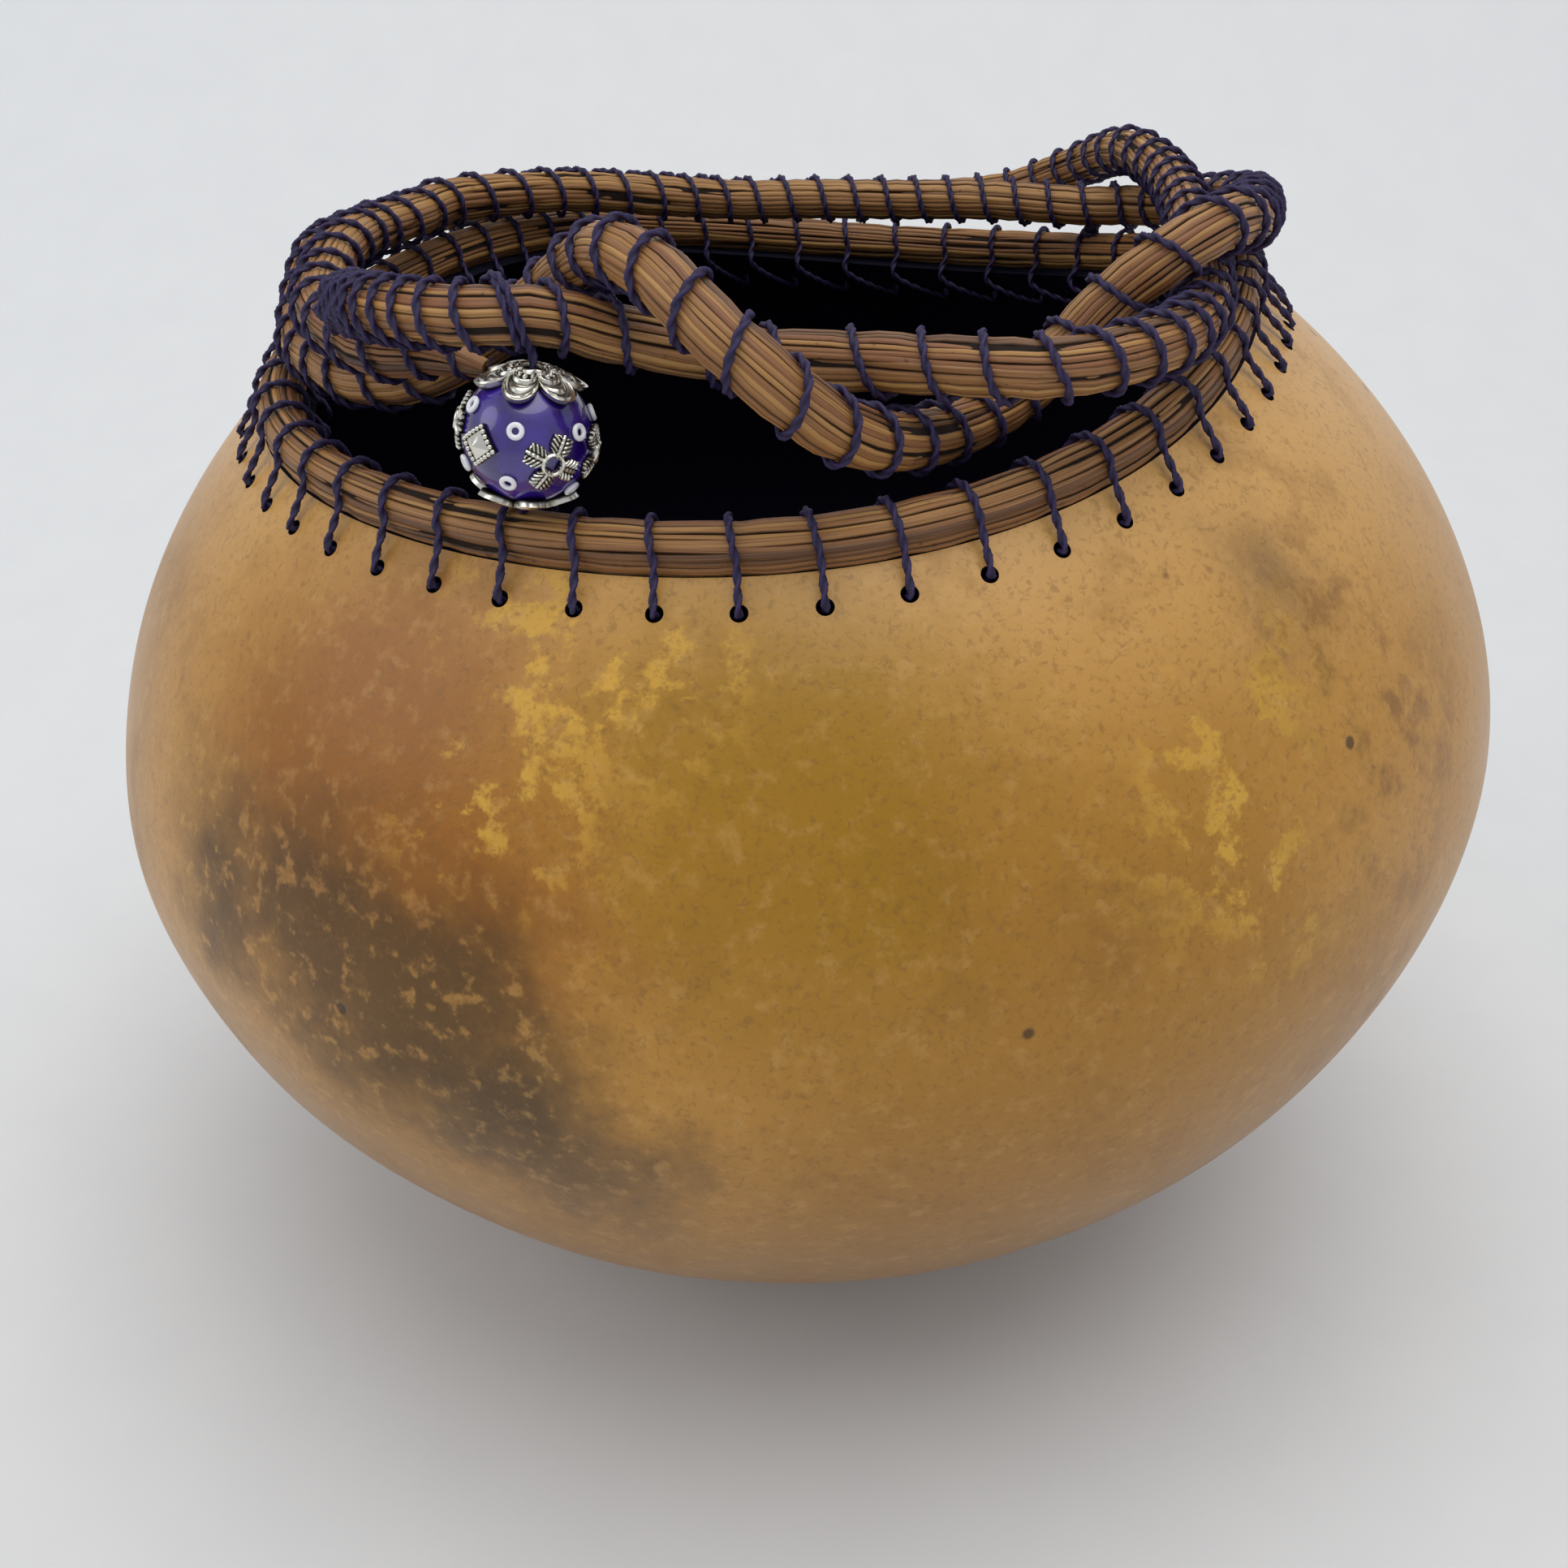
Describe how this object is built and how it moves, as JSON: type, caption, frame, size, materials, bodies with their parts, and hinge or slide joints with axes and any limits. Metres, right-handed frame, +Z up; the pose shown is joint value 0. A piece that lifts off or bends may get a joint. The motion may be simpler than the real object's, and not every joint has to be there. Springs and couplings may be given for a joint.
{
  "type": "gourd vessel",
  "caption": "Round dried gourd cut open as a bowl, its rim finished with laced coils of pine needles that loop freely over the mouth and hold a bead in petalled caps.",
  "frame": {"origin": "middle of the small flat spot under the gourd that it rests on", "axes": "+Z up; -Y is the front, the side with the bead; +X to the right seen from the front"},
  "size_m": [0.1993, 0.1998, 0.1694],
  "materials": {
    "gourd": "satin",
    "needles": "satin",
    "thread": "waxed",
    "bead_glass": "gloss",
    "silver": "antique silver",
    "seed_bead": "gloss"
  },
  "bodies": {
    "root": {"gourd_shell": "gourd", "rim_coil": "needles", "rim_lacing": "thread", "loop_coil": "needles", "loop_binding": "thread", "back_tie": "thread", "bead_core": "bead_glass", "bead_cap_top": "silver", "bead_cap_bottom": "silver", "bead_tie": "thread", "bead_ringlet_1": "seed_bead", "bead_ringlet_2": "seed_bead", "bead_ringlet_3": "seed_bead", "bead_ringlet_4": "seed_bead", "bead_ringlet_5": "seed_bead", "bead_ringlet_6": "seed_bead", "bead_ringlet_7": "seed_bead", "bead_ringlet_8": "seed_bead", "bead_ringlet_9": "seed_bead", "bead_ringlet_10": "seed_bead", "bead_stud_1": "silver", "bead_stud_2": "silver", "bead_flower_1": "silver", "bead_flower_2": "silver", "bead_flower_3": "silver"}
  },
  "joints": []
}
